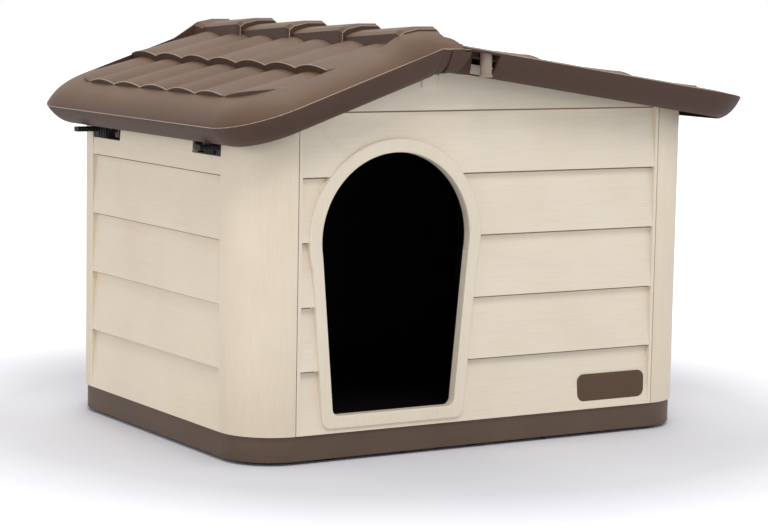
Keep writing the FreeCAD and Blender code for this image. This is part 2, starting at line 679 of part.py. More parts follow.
def roof_slab(side, rise, crown, fall, starts, web):
    """The hollow tiled half in its flat frame, run past the ridge."""
    ridge = abs(HINGE_X - EAVE[side]) / math.cos(SLOPE[side])
    far = ridge + 26
    ceiling = CEILING[side]
    floor = ceiling + ROOF_SKIN
    half = GABLE - TILE_MARGIN

    def keep(low):
        wire = outline_wire(starts[0], far, half, FIELD_CORNER, low)
        return Part.Face(wire).extrude(Vector(0, 0, crown - low + 5))

    low = skin_loft([(FASCIA_TUCK * a, FASCIA_DEPTH * b) for a, b in FASCIA], far, False)
    high = skin_loft([(BORDER_WIDTH * a, swell(rise, BORDER_WIDTH * a)) for a in SWELL_SHARES], far, False)
    tiles = [tile_row(a, b + 6, crown, fall) for a, b in zip(starts, starts[1:] + [far - 7])]
    tiled = tiles[0].multiFuse(tiles[1:]).common(keep(floor - 1.5))
    solid = low.fuse(high).cut(keep(floor)).fuse(tiled)
    inner = [(FASCIA_TUCK * a + ROOF_SKIN, FASCIA_DEPTH * b) for a, b in FASCIA]
    inner[0] = (inner[0][0], inner[0][1] - 2)
    if ceiling > 0:
        inner[3] = (1.5 * ROOF_SKIN, 0)
        inner.append((3.5 * ROOF_SKIN, ceiling))
    else:
        inner[2] = (inner[2][0] + 1, ceiling - 2.5)
        inner[3] = (3 * ROOF_SKIN, ceiling)
    solid = solid.cut(skin_loft(inner, ridge - web, True))
    for v in (-REST_PITCH, 0, REST_PITCH):
        rest = Part.makeBox(ridge - web - 22, REST_SKIN, ROOF_REST - FIT_GAP + 1,
                            Vector(24, v - REST_SKIN / 2, ceiling - ROOF_REST + FIT_GAP))
        solid = solid.fuse(rest)
    return solid


def tilt(solid, side):
    """Lay a flat half on its slope, the left one as it is and the right one mirrored."""
    if side == "right":
        solid = solid.mirror(Vector(), Vector(1, 0, 0))
    turn = SLOPE_RIGHT if side == "right" else -SLOPE_LEFT
    solid.rotate(Vector(), Vector(0, 1, 0), turn)
    solid.translate(Vector(EAVE[side], 0, RIM_Z[side]))
    return solid


def polar(radius, angle):
    turn = math.radians(angle)
    return Vector(HINGE_X + radius * math.cos(turn), 0, HINGE_Z + radius * math.sin(turn))


def bow(radius, start, end):
    return Part.Arc(polar(radius, start), polar(radius, (start + end) / 2.0), polar(radius, end)).toShape()


def along_y(edges, low, high):
    face = Part.Face(Part.Wire(edges))
    face.translate(Vector(0, low, 0))
    return face.extrude(Vector(0, high - low, 0))


def block(x, y, z):
    """A box between pairs of numbers."""
    return Part.makeBox(x[1] - x[0], y[1] - y[0], z[1] - z[0], Vector(x[0], y[0], z[0]))


def both_ends(low, high):
    """The span of a pair of depths along Y, at the front and at the rear."""
    return ((-high, -low), (low, high))


def catches(side):
    """The two hooks under the eave that the latch tongues run over, each on a post from the ceiling."""
    level = NOTCH_Z[side]
    top = level + abs(WALL[side] - EAVE[side]) + 60
    x = (WALL[side] + 1.5, WALL[side] + 8.5) if side == "left" else (WALL[side] - 8.5, WALL[side] - 1.5)
    near = NOTCH_FROM_MIDDLE + 2
    lid = tilt(block((0, 120), (-300, 300), (CEILING[side], CEILING[side] + 200)), side)
    hooks, posts = both_ends(near, near + HOOK_LENGTH), both_ends(near, near + 3.5)
    for tag, hook, post in zip(("front", "rear"), hooks, posts):
        solid = block(x, hook, (level + 3, level + 8)).fuse(block(x, post, (level + 3, top))).cut(lid)
        catch = doc.addObject("Part::Feature", "catch_%s_%s" % (tag, side))
        catch.Shape = solid.removeSplitter()
        finish(catch.Label, catch)


def bar_end_profile():
    """The section along Y that the ridge bar keeps to: undercut sides, swollen top."""
    level = HINGE_Z + BAR_LEVEL
    edge = [(FASCIA_TUCK * a, FASCIA_DEPTH * b) for a, b in FASCIA]
    edge += [(BORDER_WIDTH * a, swell(BORDER_RISE_LEFT, BORDER_WIDTH * a)) for a in SWELL_SHARES[1:]]
    front = [Vector(HINGE_X - 200, -GABLE + d, level + h) for d, h in edge]
    rear = [Vector(HINGE_X - 200, GABLE - d, level + h) for d, h in reversed(edge)]
    wire = Part.makePolygon(front + rear + front[:1])
    return Part.Face(wire).extrude(Vector(400, 0, 0))


# The ridge tile's section, from its steep left side to its right: offset and height
# from the hinge line.
CAP_SECTION = ((-44.4, 15.6), (-39.6, 18.9), (-22.2, 22.2), (-11.5, 22.2), (-2.4, 22.2), (1.8, 18.6),
               (3.6, 13.2))


def rim_line(x):
    """The height of the rim's line over the hinge line at an offset along X."""
    return min(RIDGE_COVER + x * math.tan(SLOPE["left"]), BAR_LEVEL)


def seat(x):
    """A height inside the left skin at an offset along X."""
    middle = (CEILING["left"] + ROOF_SKIN / 2) / math.cos(SLOPE["left"])
    return RIDGE_COVER + x * math.tan(SLOPE["left"]) + middle


def section_wire(y, spots):
    points = [Vector(HINGE_X + x, y, HINGE_Z + z) for x, z in spots]
    return Part.makePolygon(points + points[:1])


def cap_wire(y, lift, pinch):
    """A ridge tile's section at one place, lowered and drawn in by its taper."""
    top = [(x + (pinch if x < -30 else 0), z - lift) for x, z in CAP_SECTION]
    return section_wire(y, top + [(CAP_SECTION[-1][0], 5), (-8, seat(-8)), (top[0][0], seat(top[0][0]))])


def fairing_wire(depth, length, sign):
    """The gable end's section at a depth from the rim, rising smoothly to the first cap."""
    share = 1 - (1 - depth / length) ** 2
    full = swell(BORDER_RISE_LEFT, length) / math.cos(SLOPE["left"])
    here = swell(BORDER_RISE_LEFT, depth) / math.cos(SLOPE["left"])
    skin = [(-66.0, rim_line(-66.0) + here)]
    for x, z in CAP_SECTION:
        skin.append((x, rim_line(x) + here + share * (z - CAP_LIP - 1 - rim_line(x) - full)))
    under = [(skin[-1][0], min(skin[-1][1], rim_line(0) + here) - 1.2)]
    under += [(x, rim_line(x) + here - 1.2) for x in (-11.5, -66.0)]
    return section_wire(sign * (GABLE - depth), skin + under)


def ridge_caps():
    """Overlapping ridge tiles, each stepping down onto the next, and the gable ends."""
    front = -GABLE + TILE_MARGIN - 3
    solids = []
    for k in range(4):
        y = front + k * CAP_PITCH
        long = CAP_LAST if k == 3 else CAP_PITCH
        share = long / CAP_PITCH
        wires = [cap_wire(y, CAP_LIP, CAP_LIP), cap_wire(y + 2 * CAP_LIP, 0, 0),
                 cap_wire(y + long + 1, CAP_STEP * share, CAP_PINCH * share)]
        solids.append(Part.makeLoft(wires, True, True))
    for sign in (-1, 1):
        wires = [fairing_wire(depth, TILE_MARGIN, sign) for depth in (0.4, 2.5, 6, 11, 17, 24, TILE_MARGIN)]
        solids.append(Part.makeLoft(wires, True, True))
    last = front + 3 * CAP_PITCH + CAP_LAST
    solids.append(Part.makeLoft([cap_wire(last - 1, CAP_STEP + 1, CAP_PINCH),
                                 cap_wire(GABLE - TILE_MARGIN + 1, CAP_LIP + 1, 0)], True, True))
    return solids


left_rows = [FIELD_START_LEFT, FIELD_START_LEFT + ROW_LEFT]
left = roof_slab("left", BORDER_RISE_LEFT, CROWN_LEFT, TILE_FALL_LEFT / ROW_LEFT, left_rows, WEB_LEFT)
left = tilt(left, "left")
left = left.cut(block((HINGE_X, HINGE_X + 400), (-300, 300), (200, 500)))
bar = along_y([bow(KNUCKLE_RADIUS, -90, 0), line(polar(KNUCKLE_RADIUS, 0), polar(SHOULDER_RADIUS, 0)),
               bow(SHOULDER_RADIUS, 0, 90), line(polar(SHOULDER_RADIUS, 90), polar(KNUCKLE_RADIUS, -90))],
              -GABLE, GABLE)
profile = bar_end_profile()
spare = block((HINGE_X - (RIDGE_COVER - BAR_LEVEL) / math.tan(SLOPE["left"]), HINGE_X + 60), (-300, 300),
              (HINGE_Z - 60, HINGE_Z + 60)).cut(profile)
left = left.fuse(bar).cut(spare)
for solid in ridge_caps():
    left = left.fuse(solid)
left_cuts = [Part.makeCylinder(9, 342, Vector(HINGE_X, -171, HINGE_Z), Vector(0, 1, 0)),
             Part.makeCylinder(BORE_RADIUS, 420, Vector(HINGE_X, -210, HINGE_Z), Vector(0, 1, 0))]
for span in both_ends(LUG_GAP_LOW, LUG_GAP_HIGH):
    left_cuts.append(block((HINGE_X - 14, HINGE_X + 26), span, (HINGE_Z - 35, HINGE_Z + 14)))
for tool in left_cuts:
    left = left.cut(tool)

right_rows = [FIELD_START_RIGHT + k * ROW_RIGHT for k in range(3)]
right = roof_slab("right", BORDER_RISE_RIGHT, CROWN_RIGHT, TILE_FALL_RIGHT / ROW_RIGHT, right_rows, WEB_RIGHT)
for low, high in both_ends(GABLE - RECESS_DEPTH, GABLE + 1):
    right = right.cut(block((RECESS_START, RECESS_END), (low, high), (-40, -RECESS_SKIN)))
right = tilt(right, "right")
reach = SHOULDER_RADIUS + SOCKET_GAP
sweep = polar(SWEEP_RADIUS, SWEEP_ANGLE)
wide = KNUCKLE_RADIUS + SOCKET_GAP
socket = [bow(wide, -90, STEP_ANGLE), line(polar(wide, STEP_ANGLE), polar(reach, STEP_ANGLE)),
          bow(reach, STEP_ANGLE, SWEEP_ANGLE), line(polar(reach, SWEEP_ANGLE), sweep)]
corners = [sweep, Vector(sweep.x, 0, HINGE_Z + 100), Vector(HINGE_X - 300, 0, HINGE_Z + 100),
           Vector(HINGE_X - 300, 0, HINGE_Z - 100), Vector(HINGE_X, 0, HINGE_Z - 100),
           polar(wide, -90)]
socket += [line(a, b) for a, b in zip(corners, corners[1:])]
right = right.cut(along_y(socket, -300, 300))
for span in both_ends(LUG_GAP_LOW, EAR_LOW - 2):
    right = right.cut(block((HINGE_X - 1, HINGE_X + 50), span, (HINGE_Z - 84, HINGE_Z + 6)))
for low, high in both_ends(EAR_LOW, EAR_HIGH):
    ear = Part.makeCylinder(EAR_RADIUS, high - low, Vector(HINGE_X, low, HINGE_Z), Vector(0, 1, 0))
    arm = block((HINGE_X, HINGE_X + 27), (low, high), (HINGE_Z - 8, HINGE_Z + 6))
    right = right.fuse(ear.fuse(arm))
    right = right.cut(Part.makeCylinder(BORE_RADIUS, 40, Vector(HINGE_X, low - 12, HINGE_Z), Vector(0, 1, 0)))

# Ridge pins: a short upright peg in a recess at each end of the right half.
peg_reach = abs(HINGE_X - EAVE["right"]) - PEG_FROM_HINGE
peg_low = RIM_Z["right"] + peg_reach * math.tan(SLOPE["right"]) - FASCIA_DEPTH
lid = tilt(block((RECESS_START, RECESS_END), (-300, 300), (-RECESS_SKIN, 20)), "right")
for tag, end in (("front", -1), ("rear", 1)):
    spot = Vector(HINGE_X + PEG_FROM_HINGE, end * (GABLE - PEG_FROM_GABLE), peg_low)
    flange = Part.makeCylinder(PEG_RADIUS, 2.4, spot)
    peg = Part.makeCylinder(PEG_RADIUS - 0.8, FASCIA_DEPTH + 3, spot).fuse(flange)
    peg_object = doc.addObject("Part::Feature", "ridge_pin_" + tag)
    peg_object.Shape = peg.cut(lid).removeSplitter()
    finish("ridge_pin_" + tag, peg_object)

catches("left")
catches("right")
for label, solid in (("roof_left", left), ("roof_right", right)):
    half = doc.addObject("Part::Feature", label + "_half")
    half.Shape = solid.removeSplitter()
    half.Placement = Placement()
    finish(label, half)

doc.recompute()
for obj in doc.Objects:
    if "Invalid" in obj.State or "Error" in obj.State:
        raise RuntimeError("%s did not build: %s" % (obj.Label, obj.State))

os.makedirs("parts", exist_ok=True)
for label, obj in pieces.items():
    shape = obj.Shape
    if shape.isNull() or not shape.isValid() or not shape.Solids:
        raise RuntimeError("%s is not a valid solid" % label)
    shape.exportStep("parts/%s.step" % label)
    box_ = shape.BoundBox
    print("%-26s %2d solids %7.1f cm3  x %7.1f %7.1f  y %7.1f %7.1f  z %6.1f %6.1f" % (
        label, len(shape.Solids), shape.Volume / 1000, box_.XMin, box_.XMax, box_.YMin, box_.YMax,
        box_.ZMin, box_.ZMax))
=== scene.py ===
# %% [markdown]
# # A plastic dog house in Blender
# This notebook dresses the imported model of a dog house: cream clapboard walls,
# a brown tray and a tiled roof in two halves. The solids come with the frame.
# What is added here: eased edges and a wood grain pressed into the skin, as moulding
# leaves on such a part, and a thin light bead along each rim and tile that is a painted highlight.

# %% Load the frame
import math

import bpy
import numpy as np
from mathutils import Matrix, Vector


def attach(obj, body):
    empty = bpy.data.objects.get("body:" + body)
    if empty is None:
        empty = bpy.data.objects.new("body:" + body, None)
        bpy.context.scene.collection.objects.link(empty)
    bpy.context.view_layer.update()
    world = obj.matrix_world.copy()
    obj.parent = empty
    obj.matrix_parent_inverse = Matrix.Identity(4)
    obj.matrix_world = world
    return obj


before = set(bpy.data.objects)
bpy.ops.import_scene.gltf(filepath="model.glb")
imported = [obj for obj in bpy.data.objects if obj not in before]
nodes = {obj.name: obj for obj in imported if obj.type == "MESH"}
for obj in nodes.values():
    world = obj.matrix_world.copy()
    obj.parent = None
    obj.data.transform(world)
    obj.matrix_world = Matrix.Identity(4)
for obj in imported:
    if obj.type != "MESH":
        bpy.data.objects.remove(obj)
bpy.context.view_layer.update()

# %% [markdown]
# ## The camera
# The lens and the viewing angle were solved from the photograph's straight
# lines, so the model lands on the same pixels.

# %% Camera
RIGHT = Vector((0.851618, -0.523861, 0.017793))
UP = Vector((0.047052, 0.110211, 0.992794))
AHEAD = Vector((0.522047, 0.844644, -0.118507))
PLACE = Vector((-1.32599, -2.13839, 0.456486))
camera_data = bpy.data.cameras.new("camera")
camera_data.lens = 115.2
camera_data.sensor_width = 36
camera = bpy.data.objects.new("camera", camera_data)
turn = Matrix((RIGHT, UP, -AHEAD)).transposed().to_4x4()
camera.matrix_world = Matrix.Translation(PLACE) @ turn
bpy.context.scene.collection.objects.link(camera)
bpy.context.scene.camera = camera
bpy.context.scene.view_settings.view_transform = "Standard"
print("camera at", [round(c, 3) for c in PLACE])

# %% [markdown]
# ## Small helpers for materials
# A colour is written as its sRGB hex and turned into linear light once. Each
# node is added by one function that also sets its inputs.

# %% Material helpers
def linear(code):
    """A hex colour as linear RGBA."""
    parts = [int(code[i:i + 2], 16) / 255 for i in (1, 3, 5)]
    return tuple(c / 12.92 if c <= 0.04045 else ((c + 0.055) / 1.055) ** 2.4
                 for c in parts) + (1.0,)


def add(tree, kind, inputs=None, **settings):
    """A node of one kind with its settings and inputs; a socket given as an input is linked."""
    node = tree.nodes.new("ShaderNode" + kind)
    for name, value in settings.items():
        setattr(node, name, value)
    for name, value in (inputs or {}).items():
        if isinstance(value, bpy.types.NodeSocket):
            tree.links.new(value, node.inputs[name])
        else:
            node.inputs[name].default_value = value
    return node


def calc(tree, operation, a, b=0.0):
    """The result of one sum on two numbers or sockets."""
    return add(tree, "Math", {0: a, 1: b}, operation=operation).outputs["Value"]


def ramp(tree, source, stops):
    """A colour ramp through (position, colour) stops."""
    node = add(tree, "ValToRGB", {"Fac": source})
    elements = node.color_ramp.elements
    while len(elements) < len(stops):
        elements.new(0.5)
    for element, (position, colour) in zip(elements, stops):
        element.position = position
        element.color = colour
    return node.outputs["Color"]


def blend(tree, factor, a, b, way="MIX"):
    """Two colours mixed by a factor."""
    return add(tree, "Mix", {0: factor, 6: a, 7: b}, data_type="RGBA", blend_type=way).outputs[2]


def start(name, roughness, ior=1.49, sheen=0.5):
    """A new material with its shader and object coordinates; sheen is the specular level."""
    material = bpy.data.materials.new(name)
    material.use_nodes = True
    tree = material.node_tree
    tree.nodes.clear()
    shader = add(tree, "BsdfPrincipled", {"Roughness": roughness, "IOR": ior, "Specular IOR Level": sheen})
    add(tree, "OutputMaterial", {"Surface": shader.outputs["BSDF"]})
    return material, tree, shader, add(tree, "TexCoord").outputs["Object"]


print("helpers ready")

# %% [markdown]
# ## Pressed wood grain
# The mould's steel is etched with a wood grain, so every skin carries fine
# streaks: level along the boards, upright on the corner posts and beside the
# doorway, and running up the slope on the roof. A streak is noise drawn out
# along one axis. Real streaks are about 0.6 mm wide; here they are 1.4 mm, the
# finest that the picture can show.

# %% Grain
STREAK_WIDTH = 0.0014
STREAK_LENGTH = 0.045


def streaks(tree, place, along, turn=0.0):
    """Noise of one streak's width across and one streak's length along an axis; turn tilts it about Y."""
    scale = [1 / STREAK_WIDTH] * 3
    scale["XYZ".index(along)] = 1 / STREAK_LENGTH
    turned = add(tree, "Mapping", {"Vector": place, "Rotation": (0, turn, 0)}).outputs["Vector"]
    drawn = add(tree, "Mapping", {"Vector": turned, "Scale": scale}).outputs["Vector"]
    return add(tree, "TexNoise", {"Vector": drawn, "Scale": 1.0, "Detail": 3.0, "Roughness": 0.6,
                                  "Distortion": 0.3}).outputs["Fac"]


def between(tree, number, low, high):
    """1 where a number lies between two limits, 0 elsewhere."""
    above = calc(tree, "GREATER_THAN", number, low)
    return calc(tree, "MULTIPLY", above, calc(tree, "LESS_THAN", number, high))


def press(tree, shader, place, grain, tones, depth, roughness, contrast=0.05):
    """Colour drift, streak tint, relief and uneven gloss of a pressed plastic skin; gives the colour."""
    drift = add(tree, "TexNoise", {"Vector": place, "Scale": 11.0, "Detail": 3.0}).outputs["Fac"]
    low, middle, high = [linear(code) for code in tones]
    colour = ramp(tree, drift, [(0.15, low), (0.5, middle), (0.85, high)])
    dim = (1 - contrast * 2.2, 1 - contrast * 2.4, 1 - contrast * 2.7, 1)
    shade = ramp(tree, grain, [(0.28, dim), (0.5, (1, 1, 1, 1)), (0.72, (1 + contrast,) * 3 + (1,))])
    colour = blend(tree, 1.0, colour, shade, "MULTIPLY")
    speck = add(tree, "TexNoise", {"Vector": place, "Scale": 700.0, "Detail": 2.0}).outputs["Fac"]
    height = calc(tree, "ADD", grain, calc(tree, "MULTIPLY", speck, 0.25))
    bump = add(tree, "Bump", {"Height": height, "Distance": depth, "Strength": 0.6})
    tree.links.new(bump.outputs["Normal"], shader.inputs["Normal"])
    gloss = add(tree, "MapRange", {"Value": grain, "To Min": roughness - 0.06, "To Max": roughness + 0.1})
    tree.links.new(gloss.outputs["Result"], shader.inputs["Roughness"])
    return colour


print("streak:", STREAK_WIDTH * 1000, "mm wide")

# %% [markdown]
# ## Cream polypropylene for the walls
# Injection-moulded polypropylene with a satin skin. The panels are cream
# through and through, but the cabin is closed and unlit, so its inner skin is
# painted a deep brown: painted shade, not the plastic's colour. A thin dark line
# under each board stands for the shade in its lap.

# %% Wall plastic
CREAM = ("#DDD0BA", "#E3D7C3", "#E7DCC9")
# Painted light: the side walls take a slightly warmer cream than the front, a tint for the light that falls on
# them; the plastic is the same.
CREAM_SIDE_LIGHT_TINT = ("#DDCEB6", "#E4D6BF", "#E8DBC6")
INSIDE_SHADE = linear("#1E1714")
LAP_SHADE = linear("#7F6C5A")
TRAY_TOP, BOARD, LAP_LINE = 0.027, 0.060, 0.0017
WALL_LEFT, WALL_RIGHT, WALL_DEPTH = -0.2688, 0.2472, 0.19425
WALL_CORNER = 0.052
INNER_INSET = 0.0078
DOOR_X, SPRING_Z, RING_EDGE, RING_TAPER = -0.1110, 0.2070, 0.0945, 0.085


def distance(tree, a, b):
    """The root of a * a + b * b."""
    squares = calc(tree, "ADD", calc(tree, "MULTIPLY", a, a), calc(tree, "MULTIPLY", b, b))
    return calc(tree, "SQRT", squares)


def inner_mask(tree, x, y):
    """1 on the skin inside the cabin, 0 outside it."""
    deep = between(tree, y, -WALL_DEPTH + INNER_INSET, WALL_DEPTH - INNER_INSET)
    wide = between(tree, x, WALL_LEFT + INNER_INSET, WALL_RIGHT - INNER_INSET)
    off_middle = calc(tree, "ABSOLUTE", calc(tree, "SUBTRACT", x, (WALL_LEFT + WALL_RIGHT) / 2))
    straight = (WALL_RIGHT - WALL_LEFT) / 2 - WALL_CORNER
    dx = calc(tree, "MAXIMUM", calc(tree, "SUBTRACT", off_middle, straight), 0.0)
    dy = calc(tree, "SUBTRACT", calc(tree, "ABSOLUTE", y), WALL_DEPTH - WALL_CORNER)
    reach = distance(tree, dx, calc(tree, "MAXIMUM", dy, 0.0))
    rounded = calc(tree, "LESS_THAN", reach, WALL_CORNER - INNER_INSET)
    return calc(tree, "MULTIPLY", calc(tree, "MULTIPLY", deep, wide), rounded)


def wall_plastic(name, tones, along, post_axis, post_start, post_end, ring=False):
    """Cream skin: grain along one axis, upright on the posts and the ring, a dark line in each lap, and
    painted shade on the inner skin.
    """
    material, tree, shader, place = start(name, 0.46)
    axes = add(tree, "SeparateXYZ", {"Vector": place})
    x, y, z = axes.outputs["X"], axes.outputs["Y"], axes.outputs["Z"]
    board = between(tree, y if post_axis == "Y" else x, post_start, post_end)
    level = streaks(tree, place, along)
    upright = streaks(tree, place, "Z")
    if ring:
        dx = calc(tree, "SUBTRACT", x, DOOR_X)
        dz = calc(tree, "MAXIMUM", calc(tree, "SUBTRACT", z, SPRING_Z), 0.0)
        down = calc(tree, "MAXIMUM", calc(tree, "SUBTRACT", SPRING_Z, z), 0.0)
        reach = calc(tree, "ADD", distance(tree, dx, dz), calc(tree, "MULTIPLY", down, RING_TAPER))
        board = calc(tree, "MULTIPLY", board, calc(tree, "GREATER_THAN", reach, RING_EDGE))
    grain = add(tree, "Mix", {0: board, 2: upright, 3: level}).outputs[0]
    colour = press(tree, shader, place, grain, tones, 0.0003, 0.46, 0.018)
    lap = calc(tree, "MODULO", calc(tree, "SUBTRACT", z, TRAY_TOP - LAP_LINE), BOARD)
    lap = calc(tree, "MULTIPLY", calc(tree, "LESS_THAN", lap, LAP_LINE), board)
    colour = blend(tree, lap, colour, LAP_SHADE)
    # Painted shade: the skin inside the cabin is painted deep brown.
    tree.links.new(blend(tree, inner_mask(tree, x, y), colour, INSIDE_SHADE), shader.inputs["Base Color"])
    return material


front_plastic = wall_plastic("cream_front_plastic", CREAM, "X", "X", -0.2130, 0.1914, True)
side_plastic = wall_plastic("cream_side_plastic", CREAM_SIDE_LIGHT_TINT, "Y", "Y", -0.13845, 0.13845)
print("walls:", front_plastic.name, side_plastic.name)

# %% [markdown]
# ## Brown polypropylene for the roof and the tray
# The same plastic with a darker pigment. Each roof half has its grain running
# up its own slope, so the pattern is tilted by that slope. Faces that look down
# or sideways, such as the undercut fascia, are painted a little darker and redder than the top: painted shade.

# %% Roof, tray and latch plastic
SLOPE_LEFT, SLOPE_RIGHT = math.radians(19.19), math.radians(8.42)


def brown_plastic(name, tones, along, turn, roughness, contrast, depth=0.0003):
    material, tree, shader, place = start(name, roughness, 1.49, 0.25)
    grain = streaks(tree, place, along, turn)
    colour = press(tree, shader, place, grain, tones, depth, roughness, contrast)
    return material, tree, shader, place, colour


def roof_plastic(name, tones, under, turn):
    """Brown skin whose faces that look down or sideways are painted the darker tone as painted shade."""
    material, tree, shader, place, colour = brown_plastic(name, tones, "X", turn, 0.5, 0.035)
    # Painted shade: faces that look down or sideways take the darker, redder brown.
    facing = add(tree, "SeparateXYZ", {"Vector": add(tree, "NewGeometry").outputs["Normal"]}).outputs["Z"]
    shade_share = add(tree, "MapRange", {"Value": facing, "From Min": 0.35, "From Max": 0.8}).outputs["Result"]
    tree.links.new(blend(tree, shade_share, linear(under), colour), shader.inputs["Base Color"])
    return material


BROWN = ("#644D3B", "#6B5341", "#725A47")
UNDERSIDE_SHADE = "#4F3B31"
FLOOR_SHADE = linear("#120D0D")
roof_left_plastic = roof_plastic("brown_roof_plastic_left", BROWN, UNDERSIDE_SHADE, SLOPE_LEFT)
roof_right_plastic = roof_plastic("brown_roof_plastic_right", BROWN, UNDERSIDE_SHADE, -SLOPE_RIGHT)
tray_plastic, tree, shader, place, colour = brown_plastic(
    "brown_tray_plastic", ("#57463B", "#5D4C40", "#635145"), "X", 0.0, 0.48, 0.03)
# Painted shade: the tray's floor inside the cabin is painted near black.
axes = add(tree, "SeparateXYZ", {"Vector": place})
within = inner_mask(tree, axes.outputs["X"], axes.outputs["Y"])
tree.links.new(blend(tree, within, colour, FLOOR_SHADE), shader.inputs["Base Color"])
plate_plastic, tree, shader, place, colour = brown_plastic(
    "brown_plate_plastic", ("#52402F", "#574434", "#5C4939"), "X", 0.0, 0.5, 0.02, 0.0002)
tree.links.new(colour, shader.inputs["Base Color"])
peg_plastic, tree, shader, place, colour = brown_plastic(
    "brown_peg_plastic", ("#8A786B", "#938174", "#9B897C"), "Z", 0.0, 0.36, 0.02, 0.0001)
tree.links.new(colour, shader.inputs["Base Color"])
black_plastic, tree, shader, place, colour = brown_plastic(
    "black_latch_plastic", ("#161515", "#1B1A1A", "#222020"), "Y", 0.0, 0.42, 0.02, 0.0001)
tree.links.new(colour, shader.inputs["Base Color"])
print("plastics:", len(bpy.data.materials))

# %% [markdown]
# ## Plated and blackened steel
# The hinge pins are turned, then plated, so a bright metal with fine marks
# running round. The screws sit inside the unlit cabin and are blackened.

# %% Steel
def turned_steel(name, roughness, dull, bright):
    """Metal with fine marks drawn across the Y axis."""
    material, tree, shader, place = start(name, roughness, 1.5)
    shader.inputs["Metallic"].default_value = 1.0
    drawn = add(tree, "Mapping", {"Vector": place, "Scale": (900, 300, 900)}).outputs["Vector"]
    marks = add(tree, "TexNoise", {"Vector": drawn, "Scale": 1.0, "Detail": 2.0}).outputs["Fac"]
    colour = ramp(tree, marks, [(0.3, linear(dull)), (0.7, linear(bright))])
    tree.links.new(colour, shader.inputs["Base Color"])
    return material


steel = turned_steel("zinc_plated_steel", 0.3, "#A9A7A3", "#C9C7C2")
black_steel = turned_steel("blackened_steel", 0.55, "#1A1817", "#26231F")
print("metals:", steel.name, black_steel.name)

# %% [markdown]
# ## Dress the solids
# Each solid takes the material of its real moulding. A moulded corner is never
# sharp, so the loose triangles are welded and a narrow bevel eases the edges;
# the meshes themselves stay as they are.

# %% Give the solids their materials
FINISH = {"left_wall": side_plastic, "right_wall": side_plastic, "front_panel": front_plastic,
          "rear_panel": front_plastic, "base_tray": tray_plastic, "name_plate": plate_plastic,
          "roof_left": roof_left_plastic, "roof_right": roof_right_plastic,
          "ridge_pin_front": peg_plastic, "ridge_pin_rear": peg_plastic,
          "hinge_pin_front": steel, "hinge_pin_rear": steel}
GROUPS = {"latch": black_plastic, "wall_screws": black_steel, "base_screws": black_steel}
EASE = {"left_wall": 0.0004, "right_wall": 0.0004, "front_panel": 0.0004, "rear_panel": 0.0004,
        "base_tray": 0.0006, "roof_left": 0.0012, "roof_right": 0.0009}


def finish_of(name):
    """The material of a node, by its own name or by the start of it."""
    if name.startswith("catch"):
        return roof_left_plastic if name.endswith("left") else roof_right_plastic
    return FINISH.get(name) or next(GROUPS[first] for first in GROUPS if name.startswith(first))


def paint(obj, material):
    """One material on every slot of an object."""
    if not obj.material_slots:
        obj.data.materials.append(material)
    for material_slot in obj.material_slots:
        material_slot.material = material


def ease(obj, width):
    """Weld the triangles and round the edges that turn by more than 35 degrees."""
    weld = obj.modifiers.new("weld", "WELD")
    weld.merge_threshold = 0.00002
    bevel = obj.modifiers.new("eased_edges", "BEVEL")
    bevel.width = width
    bevel.segments = 2
    bevel.limit_method = "ANGLE"
    bevel.angle_limit = math.radians(35)
    bevel.use_clamp_overlap = True


for name, obj in nodes.items():
    paint(obj, finish_of(name))
    if name in EASE:
        ease(obj, EASE[name])
print("dressed:", len(nodes), "solids")

# %% [markdown]
# ## Painted highlight beads on the roof
# A thin light-coloured rod is laid where the edges catch the light: along the rim
# of each half, along the scalloped end of each tile row, and round the front edge
# of each ridge tile. It is a painted highlight. Each is a thin rod carried
# along a path, so it is a grid of a ring's angle by the path's length.

# %% A rod along a path
def rod(path, radius, sides=8):
    """Points at path + radius * (cos a * side + sin a * up), side and up square to the path's direction."""
    path = np.asarray(path, float)
    ahead = np.gradient(path, axis=0)
    ahead /= np.linalg.norm(ahead, axis=1)[:, None]
    side = np.cross(ahead, np.tile((0.0, 0.0, 1.0), (len(path), 1)) + 1e-4)
    side /= np.linalg.norm(side, axis=1)[:, None]
    up = np.cross(side, ahead)
    angle = np.linspace(0, 2 * np.pi, sides, endpoint=False)
    ring = np.cos(angle)[None, :, None] * side[:, None, :] + np.sin(angle)[None, :, None] * up[:, None, :]
    points = (path[:, None, :] + radius * ring).reshape(-1, 3)
    row, column = np.meshgrid(np.arange(len(path) - 1), np.arange(sides), indexing="ij")
    after = (column + 1) % sides
    quads = np.stack([row * sides + column, row * sides + after, (row + 1) * sides + after,
                      (row + 1) * sides + column], axis=-1).reshape(-1, 4)
    last = (len(path) - 1) * sides
    faces = quads[:, ::-1].tolist() + [list(range(sides)), list(range(last + sides - 1, last - 1, -1))]
    return points, faces


def piece(name, parts, material, body):
    """One mesh object from (points, faces) parts, smooth, riding on a body."""
    points, faces, offset = [], [], 0
    for part_points, part_faces in parts:
        points.append(part_points)
        faces += [[index + offset for index in face] for face in part_faces]
        offset += len(part_points)
    mesh = bpy.data.meshes.new(name)
    mesh.from_pydata(np.concatenate(points).tolist(), [], faces)
    mesh.shade_smooth()
    obj = bpy.data.objects.new(name, mesh)
    bpy.context.scene.collection.objects.link(obj)
    mesh.materials.append(material)
    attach(obj, body)
    print(name, len(mesh.polygons), "faces")
    return obj


# %% The roof's own coordinates
HINGE_X, HINGE_Z = -0.0774, 0.3834
EAVE = {"left": -0.2988, "right": 0.2988}
SLOPE = {"left": SLOPE_LEFT, "right": SLOPE_RIGHT}
RIDGE_COVER, BAR_LEVEL, GABLE, ROOF_CORNER = 0.0060, 0.0020, 0.23385, 0.0612
RIM_INSET = 0.0008
RIM_Z = {side: HINGE_Z + RIDGE_COVER - abs(HINGE_X - EAVE[side]) * math.tan(SLOPE[side]) for side in EAVE}


